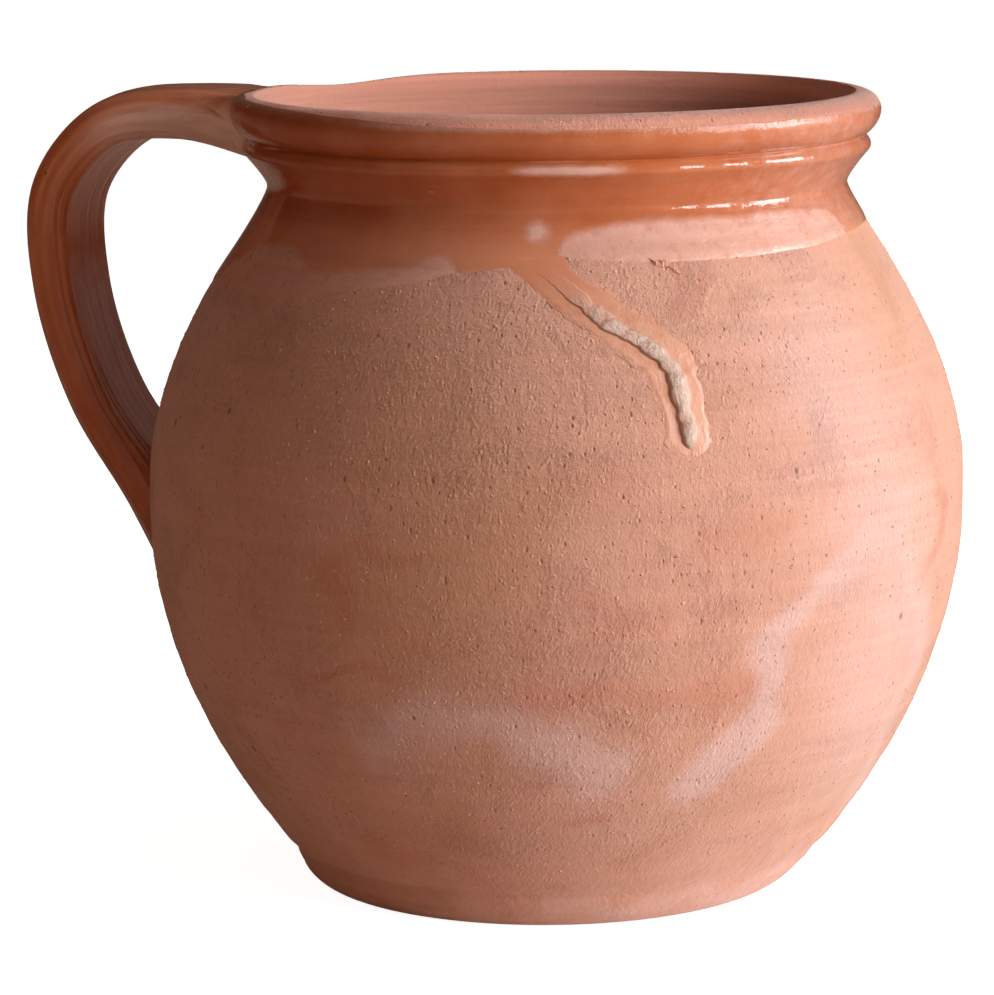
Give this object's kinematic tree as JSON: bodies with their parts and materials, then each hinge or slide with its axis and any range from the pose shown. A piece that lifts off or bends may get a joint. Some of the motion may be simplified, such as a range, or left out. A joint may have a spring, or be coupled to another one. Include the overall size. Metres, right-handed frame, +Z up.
{
  "type": "one-handled earthenware pot",
  "caption": "Round-bellied wheel-thrown clay pot with a rolled rim, a strap handle from rim to belly, a dipped glaze collar and a flat foot, for cooking or pouring.",
  "frame": {"origin": "centre of the flat foot, on the surface that the pot stands on", "axes": "+Z up along the pot's axis, the handle on the -X side, +X away from the handle"},
  "size_m": [0.247, 0.2066, 0.2],
  "materials": {
    "body_clay": "unglazed fired earthenware, matte and gritty",
    "handle_clay": "unglazed fired earthenware under the handle's glaze",
    "luting_clay": "smeared joining clay",
    "collar_glaze": "clear amber gloss glaze",
    "handle_glaze": "clear brown gloss glaze",
    "lining_glaze": "satin clear glaze",
    "run_glaze": "milky gloss glaze"
  },
  "bodies": {
    "root": {"thrown_body": "body_clay", "strap_handle": "handle_clay", "upper_luting": "luting_clay", "lower_luting": "luting_clay", "collar_glaze": "collar_glaze", "handle_glaze": "handle_glaze", "inside_glaze": "lining_glaze", "glaze_run": "run_glaze"}
  },
  "joints": []
}
